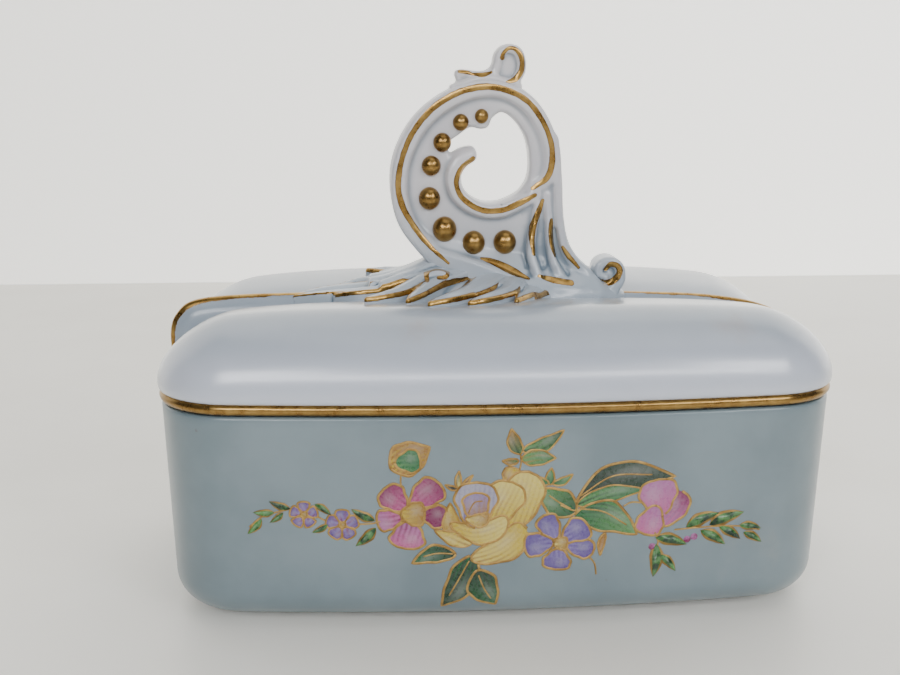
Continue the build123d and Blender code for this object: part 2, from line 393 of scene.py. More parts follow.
shoulder_insets = shoulder * (1 - np.cos(np.linspace(0, math.pi / 2, 24)))
lid_rings = [level(3.0, band_high.z), level(0.55, band_high.z), level(0.18, band_high.z + 0.5)]
lid_rings += [top_ring(inset) for inset in shoulder_insets]
lid_rings += shrink(lid_rings[-1], 26, lift=lid_top)
hollow_turns = np.linspace(0.2, 1.45, 7)
hollow_insets = [hollow_inset] * 7 + [hollow_inset + hollow_radius * (1 - math.cos(t)) for t in hollow_turns]
hollow_heights = list(np.linspace(lid_low.z + 0.5, hollow_spring, 7))
hollow_heights += [hollow_spring + hollow_radius * math.sin(t) for t in hollow_turns]
hollow = []
for inset, z in zip(hollow_insets, hollow_heights):
    ring = level(inset, z)
    ring[:, 2] = np.minimum(ring[:, 2], lid_top(ring[:, 0], ring[:, 1], inset) - lid_roof)
    hollow.append(ring)
base = [level(3.0, tub_height), level(flange_inset, tub_height), level(flange_inset, lid_low.z + 0.5)]
base += [level(flange_inset + 0.5, lid_low.z), level(flange_inset + flange_wall - 0.5, lid_low.z)]
ceiling = shrink(hollow[-1], 12, lift=lambda x, y: lid_top(x, y) - lid_roof)
lid = rings_to_solid("lid_casting", ceiling[::-1] + hollow[::-1] + base[::-1] + lid_rings)

lid_glaze, lid_colour, lid_rough, lid_bump = glaze(
    "lid_glaze", (0.275, 0.322, 0.378, 1), (0.235, 0.282, 0.336, 1))
for stain_x, stain_y, reach in ((0.058, -0.040, 0.008), (-0.022, -0.041, 0.006)):
    away = lid_glaze.node("ShaderNodeVectorMath", {"operation": "DISTANCE"},
                          {0: lid_glaze.place, 1: (stain_x, stain_y, (lid_crown - 2.0) * mm)}, out="Value")
    ragged = away + (lid_glaze.noise(240.0, 4.0) - 0.5) * 0.010
    lid_colour = lid_glaze.mix((1 - lid_glaze.step(ragged, 0.0, reach)) * 0.40, lid_colour,
                               (0.26, 0.21, 0.18, 1))
# Painted highlight: the glaze turns lighter and bluer towards the lower shoulders, standing in for the light
# that falls there.
height = lid_glaze.along("Z")
painted_shoulder_light = 1 - lid_glaze.step(height, (lid_crown - 16.0) * mm, (lid_crown + 2.0) * mm)
lid_colour = lid_glaze.mix(painted_shoulder_light * 0.85, lid_colour, (0.530, 0.565, 0.655, 1))
dress(lid, lid_glaze.finish({
    "Base Color": lid_colour, "Roughness": lid_rough, "Normal": lid_bump,
    "Coat Weight": 1.0, "Coat Roughness": 0.22}), "lid", "lid_shell")

# ------------------------------
# Gilded roll moulding: a half-round bead cast along the lid's lower edge and brushed
# with burnished gold, worn brown along its edges.
# ------------------------------
band_mid = (band_low.z + band_high.z) / 2
band_half = (band_high.z - band_low.z) / 2
section = [(1.75 - 1.65 * math.cos(t), band_mid + band_half * math.sin(t))
           for t in np.linspace(-1.5, 1.5, 15)]
section += [(3.0, band_high.z), (3.0, band_low.z)]
band = rings_to_solid("gilt_moulding", [level(inset + 0.25, z) for inset, z in section], closed=True)


def gilding(surface):
    """Colour, roughness and bump of brushed-on burnished gold with brown worn spots."""
    streak = surface.noise(300.0, 4.0, 0.65)
    tone = surface.mix(surface.step(streak, 0.3, 0.7), (0.28, 0.155, 0.040, 1), (0.50, 0.315, 0.095, 1))
    worn = surface.step(surface.noise(520.0, 5.0, 0.7), 0.66, 0.76)
    tone = surface.mix(worn * 0.75, tone, (0.16, 0.085, 0.03, 1))
    rough = streak * 0.18 + worn * 0.25 + 0.20
    return tone, rough, streak


gold = Surface("burnished_gilding")
gold_tone, gold_rough, gold_streak = gilding(gold)
gold_bump = gold.bump(0.25, 0.0003, gold_streak)
band_tarnish = 0.40
gold_tone = gold.mix(band_tarnish, gold_tone, (0.10, 0.055, 0.02, 1))
gold.finish({"Base Color": gold_tone, "Metallic": 0.95, "Roughness": gold_rough, "Normal": gold_bump})
dress(band, gold.material, "lid", "gilt_band")

# ------------------------------
# Rib: a porcelain fin rooted in the valley, rounded down over both ends of the lid, with
# a line of gold brushed along its crest that thins towards the handle.
# ------------------------------


def smooth_path(points, count):
    """Points along a Catmull-Rom curve through the control points; extra columns follow along."""
    points = np.asarray(points, float)
    padded = np.vstack([2 * points[0] - points[1], points, 2 * points[-1] - points[-2]])
    places = np.linspace(0, len(points) - 1, count)
    index = np.minimum(places.astype(int), len(points) - 2)
    t = (places - index)[:, None]
    a, b, c, d = (padded[index + k] for k in range(4))
    return b + 0.5 * t * (c - a + t * (2 * a - 5 * b + 4 * c - d + t * (3 * (b - c) + d - a)))


rib_end = (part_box("gilt_rib")[1] / mm).x
rib_side = [(-rib_end, -18.4), (-rib_end, -10.8), (-rib_end + 1.9, -6.1), (-rib_end + 6.6, -2.6),
            (-rib_end + 18.0, -1.2), (-50.0, -0.8), (0.0, -0.7), (50.0, -1.9), (68.0, -3.4), (78.0, -5.6),
            (84.5, -8.8), (rib_end, -13.2), (rib_end, -18.4)]
spine = smooth_path(rib_side, 179) + (0, lid_crown)
along = np.gradient(spine, axis=0)
along /= np.linalg.norm(along, axis=1)[:, None]
outward = np.column_stack([-along[:, 1], along[:, 0]])
rib_root_inset = 5.0
rib_root_depth = 1.5
rib_foot_half = 3.2
rib_half = [(0.0, 0.02), (0.45, -0.03), (0.85, -0.2), (1.15, -0.5), (1.4, -0.95), (1.7, -1.6),
            (2.2, -2.5), (2.9, -3.6), (3.3, -8.0)]
rib_section = [(-y, depth) for y, depth in rib_half[:0:-1]] + rib_half
rib_points, rib_gild = [], []
for (x, z), (nx, nz) in zip(spine, outward):
    root_x = math.copysign(min(abs(x), rib_end - rib_root_inset), x)
    root_z = min(z, lid_top(root_x, 0.0, half_length - abs(root_x)) - rib_root_depth)
    line = 0.85 + 0.75 * min(1, max(0, (abs(x) - 18) / 66)) ** 1.5
    for y, depth in rib_section:
        rooted = abs(y) > rib_foot_half
        rib_points.append((root_x, y, root_z) if rooted else (x + nx * depth, y, z + nz * depth))
        rib_gild.append(line - abs(y))
across = len(rib_section)
faces = []
for i in range(len(spine) - 1):
    for j in range(across):
        k = (j + 1) % across
        faces.append((i * across + j, i * across + k, (i + 1) * across + k, (i + 1) * across + j))
rib = solid("lid_rib", rib_points, faces, {"gild": rib_gild})


def gilt_porcelain(name, light, shade):
    """Glazed porcelain that turns to brushed gold wherever the piece's gild value is above zero."""
    surface, colour, rough, bump = glaze(name, light, shade)
    wobble = (surface.noise(420.0, 3.0) - 0.5) * 0.45
    mask = surface.step(surface.attribute("gild") + wobble, -0.05, 0.05)
    tone, gold_rough, streak = gilding(surface)
    edge = 1 - surface.step(surface.attribute("gild") + wobble, 0.0, 0.30)
    tone = surface.mix(edge * 0.7, tone, (0.10, 0.050, 0.018, 1))
    lift = surface.bump(0.5, 0.0002, mask + streak * 0.15)
    surface.plug(lift.socket.node, {"Normal": bump})
    return surface, colour, tone, mask, rough + mask * (gold_rough - rough), lift


rib_glaze, colour, tone, mask, rough, lift = gilt_porcelain(
    "rib_glaze", (0.275, 0.322, 0.378, 1), (0.235, 0.282, 0.336, 1))
dress(rib, rib_glaze.finish({
    "Base Color": rib_glaze.mix(mask, colour, tone), "Metallic": mask * 0.95, "Roughness": rough,
    "Normal": lift, "Coat Weight": (1 - mask) * 0.35, "Coat Roughness": 0.16}),
    "lid", "gilt_rib")

# ------------------------------
# Scroll handle: pressed in a two-part mould and luted to the lid before firing.  A C
# scroll with a rolled rim, a dished channel, a hooked eye, and a fluted stem and foot.
# ------------------------------
def soft_min(a, b, soft):
    blend = np.clip(0.5 + 0.5 * (b - a) / soft, 0, 1)
    return b + (a - b) * blend - soft * blend * (1 - blend)


def soft_max(a, b, soft):
    return -soft_min(-a, -b, soft)


def to_path(x, z, path):
    """Distance in the XZ plane to a path of (x, z, half width, half depth), less its half width,
    and the half depth at the nearest place."""
    best = np.full(np.broadcast(x, z).shape, 99.0)
    deep = np.zeros(best.shape)
    for a, b in zip(path[:-1], path[1:]):
        dx, dz = b[0] - a[0], b[1] - a[1]
        t = np.clip(((x - a[0]) * dx + (z - a[1]) * dz) / (dx * dx + dz * dz + 1e-9), 0, 1)
        away = np.hypot(x - a[0] - t * dx, z - a[1] - t * dz) - (a[2] + t * (b[2] - a[2]))
        near = away < best
        best = np.where(near, away, best)
        deep = np.where(near, a[3] + t * (b[3] - a[3]), deep)
    return best, deep


def in_outline(x, z, outline):
    """Signed distance in the XZ plane to a closed outline, negative inside."""
    away = np.full(np.broadcast(x, z).shape, 99.0)
    inside = np.zeros(away.shape, bool)
    for a, b in zip(outline, np.roll(outline, -1, axis=0)):
        dx, dz = b - a
        t = np.clip(((x - a[0]) * dx + (z - a[1]) * dz) / (dx * dx + dz * dz + 1e-9), 0, 1)
        away = np.minimum(away, np.hypot(x - a[0] - t * dx, z - a[1] - t * dz))
        if dz != 0:
            inside ^= ((a[1] > z) != (b[1] > z)) & (x < a[0] + dx * (z - a[1]) / dz)
    return np.where(inside, -away, away)


def closed_curve(points, count):
    loop = np.asarray(points, float)
    triple = np.vstack([loop[-2:], loop, loop[:3]])
    dense = smooth_path(triple, (len(triple) - 1) * (count // len(loop)) + 1)
    per = count // len(loop)
    return dense[2 * per:(2 + len(loop)) * per]


class Clay:
    """A block of clay on a fine grid: forms are joined to it and cut from it with soft edges."""

    def __init__(self, low, high, step):
        self.step = step
        self.low = np.array(low, float)
        self.axes = [np.arange(a, b, step) for a, b in zip(low, high)]
        self.field = np.full([len(axis) for axis in self.axes], 9.0, np.float32)
        self.x, self.y, self.z = np.meshgrid(*self.axes, indexing="ij", sparse=True)
        self.flat_x, self.flat_z = self.x[:, 0], self.z[0]

    def join(self, form, soft):
        self.field = soft_min(self.field, form, soft).astype(np.float32)

    def cut(self, form, soft):
        self.field = soft_max(self.field, -form, soft).astype(np.float32)

    def relief(self, away, deep, edge):
        """A form that stands out from the middle plane by deep wherever away is negative."""
        return soft_max(away[:, None, :], np.abs(self.y) - np.asarray(deep)[:, None, :], edge)

    def strand(self, points, edge=1.4, count=70):
        away, deep = to_path(self.flat_x, self.flat_z, smooth_path(points, count))
        return self.relief(away, deep, edge)

    def egg(self, centre, radii):
        scaled = np.sqrt(((self.x - centre[0]) / radii[0]) ** 2 + ((self.y - centre[1]) / radii[1]) ** 2
                         + ((self.z - centre[2]) / radii[2]) ** 2)
        return (scaled - 1) * min(radii)

    def skin(self, passes=3):
        """The clay's surface as points and quads, one point in each cell that it crosses."""
        field = self.field
        wet = field < 0
        corners = [wet[i:wet.shape[0] - 1 + i, j:wet.shape[1] - 1 + j, k:wet.shape[2] - 1 + k]
                   for i in (0, 1) for j in (0, 1) for k in (0, 1)]
        filled = sum(corner.astype(np.int8) for corner in corners)
        active = (filled > 0) & (filled < 8)
        cell = np.argwhere(active)
        index = np.full(active.shape, -1)
        index[active] = np.arange(len(cell))
        total, hits = np.zeros((len(cell), 3)), np.zeros(len(cell))
        for axis in range(3):
            others = [a for a in range(3) if a != axis]
            for i in (0, 1):
                for j in (0, 1):
                    start = np.zeros(3, int)
                    start[others[0]], start[others[1]] = i, j
                    stop = start.copy()
                    stop[axis] = 1
                    first = field[tuple((cell + start).T)]
                    second = field[tuple((cell + stop).T)]
                    crossed = (first < 0) != (second < 0)
                    share = first[crossed] / (first[crossed] - second[crossed])
                    spot = np.tile(start.astype(float), (len(share), 1))
                    spot[:, axis] = share
                    total[crossed] += spot
                    hits[crossed] += 1
        points = self.low + (cell + total / hits[:, None]) * self.step
        faces = []
        for axis in range(3):
            others = [a for a in range(3) if a != axis]
            ahead = [slice(None)] * 3
            behind = [slice(None)] * 3
            ahead[axis], behind[axis] = slice(1, None), slice(None, -1)
            edge = np.argwhere(wet[tuple(behind)] != wet[tuple(ahead)])
            edge = edge[(edge[:, others[0]] > 0) & (edge[:, others[1]] > 0)]
            ring = []
            for i, j in ((0, 0), (1, 0), (1, 1), (0, 1)):
                near = edge.copy()
                near[:, others[0]] -= i
                near[:, others[1]] -= j
                ring.append(index[tuple(near.T)])
            faces.append(np.column_stack(ring))
        faces = np.concatenate(faces)
        for _ in range(passes):
            total, hits = np.zeros(points.shape), np.zeros(len(points))
            for a in range(4):
                np.add.at(total, faces[:, a], points[faces[:, (a + 1) % 4]])
                np.add.at(hits, faces[:, a], 1)
            points = points * 0.5 + total / hits[:, None] * 0.5
        return points, faces


eye_height = 55.2
eye_distance = 304.0


def gild_along(points, lines):
    """How far each point lies inside the nearest gold line, as the gilder saw it from the front."""
    x, y, z = points.T
    seen_z = z - (eye_height - z) / eye_distance * np.abs(y)
    best = np.full(len(points), -9.0)
    for line in lines:
        path = smooth_path([(a, b, w, 0) for a, b, w in line], 50)
        best = np.maximum(best, -to_path(x, seen_z, path)[0])
    return best


def mark_hollows(piece, passes=16):
    """A value on each point: how deep it lies, in millimetres, below the smoothed surface."""
    mesh = piece.data
    place, normal = np.zeros(len(mesh.vertices) * 3), np.zeros(len(mesh.vertices) * 3)
    mesh.vertices.foreach_get("co", place)
    mesh.vertices.foreach_get("normal", normal)
    ends = np.zeros(len(mesh.edges) * 2, int)
    mesh.edges.foreach_get("vertices", ends)
    place, normal, ends = place.reshape(-1, 3) / mm, normal.reshape(-1, 3), ends.reshape(-1, 2)
    smooth = place
    for _ in range(passes):
        total, hits = np.zeros(place.shape), np.zeros(len(place))
        for a, b in ((0, 1), (1, 0)):
            np.add.at(total, ends[:, a], smooth[ends[:, b]])
            np.add.at(hits, ends[:, a], 1)
        smooth = 0.4 * smooth + 0.6 * total / hits[:, None]
    layer = mesh.attributes.new("hollow", "FLOAT", "POINT")
    layer.data.foreach_set("value", ((smooth - place) * normal).sum(axis=1).astype(np.float32))


def fired(name, clay, gild):
    """The clay's skin as an object standing on the lid, with its gold and its hollows marked."""
    points, faces = clay.skin()
    piece = solid(name, points + (0, 0, lid_crown), faces, {"gild": gild(points)})
    mark_hollows(piece)
    return piece


def pooled_gilt(name):
    """White porcelain turning bluer and darker towards the lid, with painted shade in its hollows, lighter
    raised edges and gold lines.
    """
    surface, colour, tone, mask, rough, lift = gilt_porcelain(
        name, (0.60, 0.585, 0.60, 1), (0.52, 0.515, 0.55, 1))
    height = surface.along("Z")
    low = 1 - surface.step(height, (lid_crown - 1.0) * mm, (lid_crown + 30.0) * mm)
    colour = surface.mix(low * 0.75, colour, (0.29, 0.37, 0.44, 1))
    # Painted shade: darker blue-grey wherever a point lies deep below the smoothed surface.
    deep = surface.step(surface.attribute("hollow"), 0.01, 0.20)
    colour = surface.mix(deep * (low * 0.40 + 0.55), colour, (0.12, 0.17, 0.22, 1))
    # Lighter wherever a point stands out above the smoothed surface, along raised edges.
    lighter_crests = surface.step(surface.attribute("hollow") * -1, 0.10, 0.45)
    colour = surface.mix(lighter_crests * 0.45, colour, (0.72, 0.70, 0.72, 1))
    return surface.finish({
        "Base Color": surface.mix(mask, colour, tone), "Metallic": mask * 0.95, "Roughness": rough,
        "Normal": lift, "Coat Weight": (1 - mask) * 0.4, "Coat Roughness": 0.12})


# Heights on the handle are measured from the crown of the lid.
scroll_rim = [
    (-12.0, 5.7, 2.4, 5.0), (-18.2, 12.0, 2.3, 5.2), (-23.6, 19.7, 2.3, 5.4), (-25.3, 28.7, 2.2, 5.5),
    (-23.6, 38.0, 2.2, 5.5), (-17.8, 47.1, 2.2, 5.5), (-8.4, 53.2, 2.2, 5.4), (1.4, 54.4, 2.1, 5.3),
    (9.0, 51.0, 2.1, 5.2), (14.2, 44.0, 2.0, 5.1), (16.2, 36.5, 1.9, 5.0), (15.2, 31.0, 1.5, 4.8),
    (11.3, 27.6, 0.9, 4.4)]
hook = [
    (-5.9, 36.9, 1.5, 4.4), (-8.9, 35.3, 1.8, 4.9), (-10.6, 31.2, 1.9, 5.2), (-8.9, 26.0, 2.0, 5.2),
    (-3.6, 22.5, 2.0, 5.2), (2.2, 22.0, 2.0, 5.2), (7.8, 24.2, 1.8, 5.1), (12.2, 26.2, 1.0, 4.6)]
outer_outline = [
    (-12.0, 5.2), (-19.5, 12.2), (-25.2, 21.2), (-27.4, 30.7), (-25.8, 39.2), (-20.6, 47.6),
    (-12.0, 53.8), (-1.0, 56.4), (8.0, 54.0), (14.6, 46.8), (18.0, 37.2), (19.2, 27.2), (20.2, 17.7),
    (22.7, 10.5), (27.2, 5.8), (30.0, 0.2), (20.0, -2.3), (0.0, -2.3), (-11.0, 0.2)]
eye_outline = [
    (2.8, 48.3), (6.3, 46.0), (9.1, 41.6), (10.2, 36.5), (9.9, 30.9), (7.4, 27.0), (3.4, 24.7),
    (-1.1, 23.9), (-5.1, 25.0), (-7.9, 28.1), (-8.3, 31.4), (-6.8, 33.9), (-4.2, 36.0), (-4.9, 39.2),
    (-8.2, 39.0), (-11.4, 37.6), (-11.4, 40.4), (-8.8, 42.4), (-5.8, 44.3), (-2.9, 43.8), (-0.9, 44.5),
    (0.2, 46.8)]
stem_ridges = [
    [(16.9, 41.2, 1.1, 4.4), (18.0, 31.2, 1.2, 4.8), (18.4, 21.2, 1.3, 5.0), (19.8, 13.2, 1.4, 5.2),
    (23.0, 7.8, 1.4, 5.2), (26.5, 4.7, 1.0, 4.8)], [(15.0, 26.2, 0.8, 4.4), (15.6, 19.2, 0.9, 5.2),
    (16.0, 13.2, 1.0, 5.8), (17.0, 8.2, 1.2, 6.6), (19.4, 3.2, 1.2, 7.6)], [(12.4, 24.2, 0.8, 4.8),
    (11.9, 19.2, 1.0, 5.4), (11.0, 14.2, 1.1, 6.0), (10.9, 9.2, 1.3, 7.0), (12.6, 4.2, 1.3, 8.4)]]
flutes = [
    [(13.6, 18.5, 0.5, 3.6), (13.7, 12.5, 0.8, 3.4), (14.3, 6.5, 0.7, 4.6)], [(17.4, 16.5, 0.4, 3.8),
    (18.3, 10.5, 0.7, 3.8), (21.2, 4.6, 0.6, 4.6)], [(8.6, 17.5, 0.5, 3.6), (8.2, 11.5, 0.7, 3.8),
    (9.4, 6.8, 0.5, 5.2)]]
foot_roll = [
    (-15.6, 10.2, 1.2, 5.2), (-11.6, 8.9, 1.9, 6.0), (-5.5, 6.4, 2.6, 7.0), (1.6, 3.6, 2.8, 8.2),
    (8.6, 1.0, 2.4, 9.6), (15.0, -0.6, 2.0, 10.0)]
foot_toe = [
    (10.5, 2.6, 1.0, 8.6), (15.5, 1.2, 1.5, 9.4), (21.5, 0.2, 1.5, 8.6), (27.0, -0.4, 1.2, 7.0)]
handle_clay = Clay((-31, -13, -6.3), (41, 13, 59.2), 0.42)
plate = in_outline(handle_clay.flat_x, handle_clay.flat_z, closed_curve(outer_outline, 190))
eye = in_outline(handle_clay.flat_x, handle_clay.flat_z, closed_curve(eye_outline, 220))
dish = 3.2 + 0.5 / (1 + np.exp(-(handle_clay.flat_x - 9.5) / 1.2)) + 1.6 / (
    1 + np.exp((handle_clay.flat_z - 10.5 + 0.22 * handle_clay.flat_x) / 1.2))
handle_clay.join(handle_clay.relief(soft_max(plate, -eye, 0.6), dish, 1.6), 0.3)
for egg_place, egg_size, soft in [((3, 0, 2.2), (19, 7.6, 6.6), 2.6), ((17, 0, 0.2), (15, 8.6, 5.5), 2.6),
                                  ((-11, 0, 2.2), (11, 7.0, 5.6), 2.6), ((6, 0, -2.3), (26, 12.0, 5.2), 2.6),
                                  ((25, 0, -2.6), (13, 6.4, 4.0), 2.2)]:
    handle_clay.join(handle_clay.egg(egg_place, egg_size), soft)
for ridge in stem_ridges + [foot_roll, foot_toe]:
    handle_clay.join(handle_clay.strand(ridge), 1.0)
for flute in flutes:
    away, deep = to_path(handle_clay.flat_x, handle_clay.flat_z, smooth_path(flute, 40))
    groove = soft_max(away[:, None, :], np.asarray(deep)[:, None, :] - np.abs(handle_clay.y), 0.8)
    handle_clay.cut(groove, 0.9)
handle_clay.join(handle_clay.strand(scroll_rim, count=110), 1.6)
handle_clay.join(handle_clay.strand(hook), 1.2)
handle_lines = [
    [(-11.9, 7.0, 0.4), (-17.0, 11.8, 0.65), (-21.2, 17.2, 0.8), (-24.4, 23.0, 0.85), (-25.5, 29.0, 0.8),
    (-24.2, 36.5, 0.75), (-21.2, 43.4, 0.75), (-16.0, 49.4, 0.8), (-9.8, 53.3, 0.85), (-2.8, 55.0, 0.9),
    (3.4, 54.2, 0.85), (9.1, 51.3, 0.75), (13.1, 46.4, 0.75), (15.6, 40.8, 0.7), (16.2, 35.4, 0.8),
    (15.0, 30.6, 0.85), (11.0, 27.6, 0.55)], [(-5.2, 35.8, 0.7), (-8.3, 33.1, 0.85), (-9.8, 29.2, 0.7),
    (-7.9, 24.9, 0.75), (-2.9, 21.8, 0.8), (2.8, 21.7, 0.8), (7.4, 23.6, 0.85), (11.8, 25.8, 0.5)],
    [(13.9, 24.3, 0.55), (12.7, 20.9, 0.85), (11.4, 17.5, 0.9), (10.9, 13.7, 0.8), (11.5, 9.4, 0.6)],
    [(16.4, 18.9, 0.55), (16.2, 15.6, 0.75), (16.6, 12.2, 0.75), (17.5, 8.8, 0.45)], [(19.6, 11.3, 0.45),
    (21.3, 8.7, 0.7), (24.2, 5.4, 0.45)], [(-2.9, 8.3, 0.4), (0.6, 7.2, 0.9), (5.0, 4.9, 1.2),
    (9.9, 2.4, 0.4)], [(12.7, 3.2, 0.4), (16.5, 2.0, 0.9), (21.6, 1.1, 0.9)]]
handle = fired("scroll_handle_relief", handle_clay, lambda points: gild_along(points, handle_lines))
dress(handle, pooled_gilt("handle_glaze"), "lid", "scroll_handle")

# ------------------------------
# Beads: a row of pressed clay pearls, shrinking up the channel, on both faces of the
# scroll.  Each is gilded all over.
# ------------------------------
bead_row = [
    (3.7, 13.3, 3.15), (-4.9, 13.2, 3.15), (-12.9, 17.0, 3.3), (-17.0, 25.4, 2.95), (-16.5, 34.2, 2.6),
    (-13.5, 40.4, 2.45), (-8.5, 45.7, 2.15), (-2.9, 47.3, 1.85)]
bead_depth = 3.5
bead_spots = [(x * mm, side * bead_depth * mm, (lid_crown + z) * mm)
              for side in (-1, 1) for x, z, _ in bead_row]
spots = bpy.data.meshes.new("bead_spots")
spots.from_pydata(bead_spots, [], [])
spots.attributes.new("bead_radius", "FLOAT", "POINT").data.foreach_set(
    "value", [radius * mm for _ in (-1, 1) for _, _, radius in bead_row])


class Growth:
    """A Geometry Nodes tree with named inputs, run once and kept as a plain mesh."""

    def __init__(self, name, inputs):
        self.tree = bpy.data.node_groups.new(name, "GeometryNodeTree")
        self.tree.interface.new_socket("Geometry", in_out="INPUT", socket_type="NodeSocketGeometry")
        self.tree.interface.new_socket("Geometry", in_out="OUTPUT", socket_type="NodeSocketGeometry")
        self.keys = {}
        for key, (kind, value) in inputs.items():
            socket = self.tree.interface.new_socket(key, in_out="INPUT", socket_type="NodeSocket" + kind)
            self.keys[socket.identifier] = value
        self.given = self.tree.nodes.new("NodeGroupInput")
        self.result = self.tree.nodes.new("NodeGroupOutput")

    def node(self, kind, sockets, **settings):
        made = self.tree.nodes.new(kind)
        for key, setting in settings.items():
            setattr(made, key, setting)
        for key, value in sockets.items():
            if isinstance(value, bpy.types.NodeSocket):
                self.tree.links.new(value, made.inputs[key])
            else:
                made.inputs[key].default_value = value
        return made.outputs

    def scatter(self, instance, **sockets):
        """The instance on every point of the seed mesh."""
        sockets = {"Points": self.given.outputs["Geometry"], "Instance": instance, **sockets}
        return self.node("GeometryNodeInstanceOnPoints", sockets)[0]

    def grow(self, name, seed_mesh, geometry, material):
        whole = self.node("GeometryNodeRealizeInstances", {"Geometry": geometry})[0]
        whole = self.node("GeometryNodeSetMaterial", {"Geometry": whole, "Material": material})[0]
        self.tree.links.new(whole, self.result.inputs[0])
        seed = stand(name, seed_mesh)
        modifier = seed.modifiers.new("growth", "NODES")
        modifier.node_group = self.tree
        for key, value in self.keys.items():
            modifier[key] = value
        seen = seed.evaluated_get(bpy.context.evaluated_depsgraph_get())
        mesh = bpy.data.meshes.new_from_object(seen)
        seed.modifiers.remove(modifier)
        seed.data = mesh
        mesh.name = name
        mesh.shade_smooth()
        return seed


pearls = Growth("bead_row", {"bead_flatness": ("Float", 0.92), "bead_height": ("Float", 1.06)})
radius = pearls.node("GeometryNodeInputNamedAttribute", {"Name": "bead_radius"}, data_type="FLOAT")[0]
form = pearls.node("ShaderNodeCombineXYZ", {
    "X": 1.0, "Y": pearls.given.outputs["bead_flatness"], "Z": pearls.given.outputs["bead_height"]})[0]
size = pearls.node("ShaderNodeVectorMath", {0: form, "Scale": radius}, operation="SCALE")[0]
ball = pearls.node("GeometryNodeMeshIcoSphere", {"Radius": 1.0, "Subdivisions": 4})[0]
placed = pearls.scatter(ball, Scale=size)
beads = pearls.grow("gilt_beads", spots, placed, gold.material)
belong(beads, "lid", "handle_beads")

# ------------------------------
# Crest: a leaf tip and a small curl, pressed with the scroll and finished by hand, each
# edged with a thin line of gold.
# ------------------------------
crest_outline = [
    (-11.6, 52.4), (-10.0, 55.1), (-9.5, 56.5), (-10.1, 58.0), (-9.6, 59.1), (-8.0, 59.5), (-4.9, 58.9),
    (-2.5, 59.0), (-0.6, 60.2), (0.2, 61.6), (0.6, 63.4), (1.8, 65.2), (3.7, 66.0), (6.2, 65.8),
    (8.1, 64.3), (8.8, 61.9), (8.7, 59.6), (7.8, 57.1), (7.6, 53.0), (0.0, 52.0)]
crest_rolls = [
    [(0.6, 57.0, 0.9, 3.2), (1.2, 60.6, 1.0, 3.4), (1.9, 63.4, 1.1, 3.6), (4.0, 64.9, 1.1, 3.7),
    (6.6, 64.2, 1.2, 3.8), (7.8, 61.4, 1.2, 3.8), (7.4, 58.4, 1.2, 3.8), (5.0, 55.6, 1.1, 3.8)],
    [(-9.2, 58.6, 0.7, 2.8), (-6.4, 58.5, 0.8, 3.0), (-3.0, 58.1, 0.9, 3.2), (0.2, 58.6, 0.9, 3.2)],
    [(-10.4, 54.6, 1.2, 3.8), (-5.0, 56.4, 1.2, 3.6), (1.0, 56.6, 1.3, 3.8), (6.6, 55.0, 1.4, 4.0)]]
crest_lines = [
    [(2.6, 62.6, 0.7), (2.9, 63.9, 0.55), (4.4, 65.1, 0.5), (6.2, 64.7, 0.55), (7.5, 62.9, 0.65),
    (7.9, 60.6, 0.7), (7.3, 58.5, 0.75), (5.9, 57.0, 0.7), (3.8, 56.2, 0.4)], [(-8.9, 59.0, 0.4),
    (-6.8, 58.8, 0.5), (-5.4, 58.3, 0.35)], [(-4.9, 58.3, 0.35), (-2.6, 58.1, 0.6), (-0.3, 58.8, 0.35)]]
crest_clay = Clay((-14, -5.5, 50.5), (12, 5.5, 67.4), 0.34)
crest_plate = in_outline(crest_clay.flat_x, crest_clay.flat_z, closed_curve(crest_outline, 160))
crest_clay.join(crest_clay.relief(crest_plate, np.full(crest_plate.shape, 2.3), 1.2), 0.3)
for roll in crest_rolls:
    crest_clay.join(crest_clay.strand(roll, edge=1.1), 0.8)
crest = fired("leaf_crest", crest_clay, lambda points: gild_along(points, crest_lines))
dress(crest, pooled_gilt("crest_glaze"), "lid", "handle_crest")

# ------------------------------
# Volute: the foot's last roll, curled up on itself at the right end of the handle and
# luted to the rib.
# ------------------------------
volute_roll = [
    (21.0, 2.6, 1.5, 6.4), (25.5, 1.2, 1.5, 5.8), (29.0, -0.4, 1.6, 5.0), (33.2, -0.6, 1.6, 4.7),
    (36.0, 2.0, 1.6, 4.6), (35.9, 5.8, 1.5, 4.6), (33.2, 7.6, 1.4, 4.6), (30.5, 6.5, 1.3, 4.6),
    (30.2, 4.2, 1.1, 4.8), (32.0, 3.2, 1.0, 5.0)]
volute_lines = [
    [(27.4, 3.6, 0.4), (28.6, 2.2, 0.7), (30.6, 1.2, 0.9), (33.0, 1.0, 0.9), (35.0, 2.2, 0.9),
    (35.9, 4.2, 0.8), (35.0, 5.9, 0.8), (33.2, 6.2, 0.8), (32.1, 5.0, 0.7)]]
volute_clay = Clay((18.5, -8.5, -5.0), (39.5, 8.5, 10.6), 0.36)
volute_clay.join(volute_clay.strand(volute_roll, edge=1.3), 0.5)
volute_clay.join(volute_clay.egg((32.8, 0, 3.6), (4.6, 3.6, 4.4)), 0.8)
volute_clay.join(volute_clay.egg((29.5, 0, -3.4), (9.0, 6.2, 3.6)), 1.6)
volute = fired("foot_volute", volute_clay, lambda points: gild_along(points, volute_lines))
dress(volute, pooled_gilt("volute_glaze"), "lid", "handle_volute")

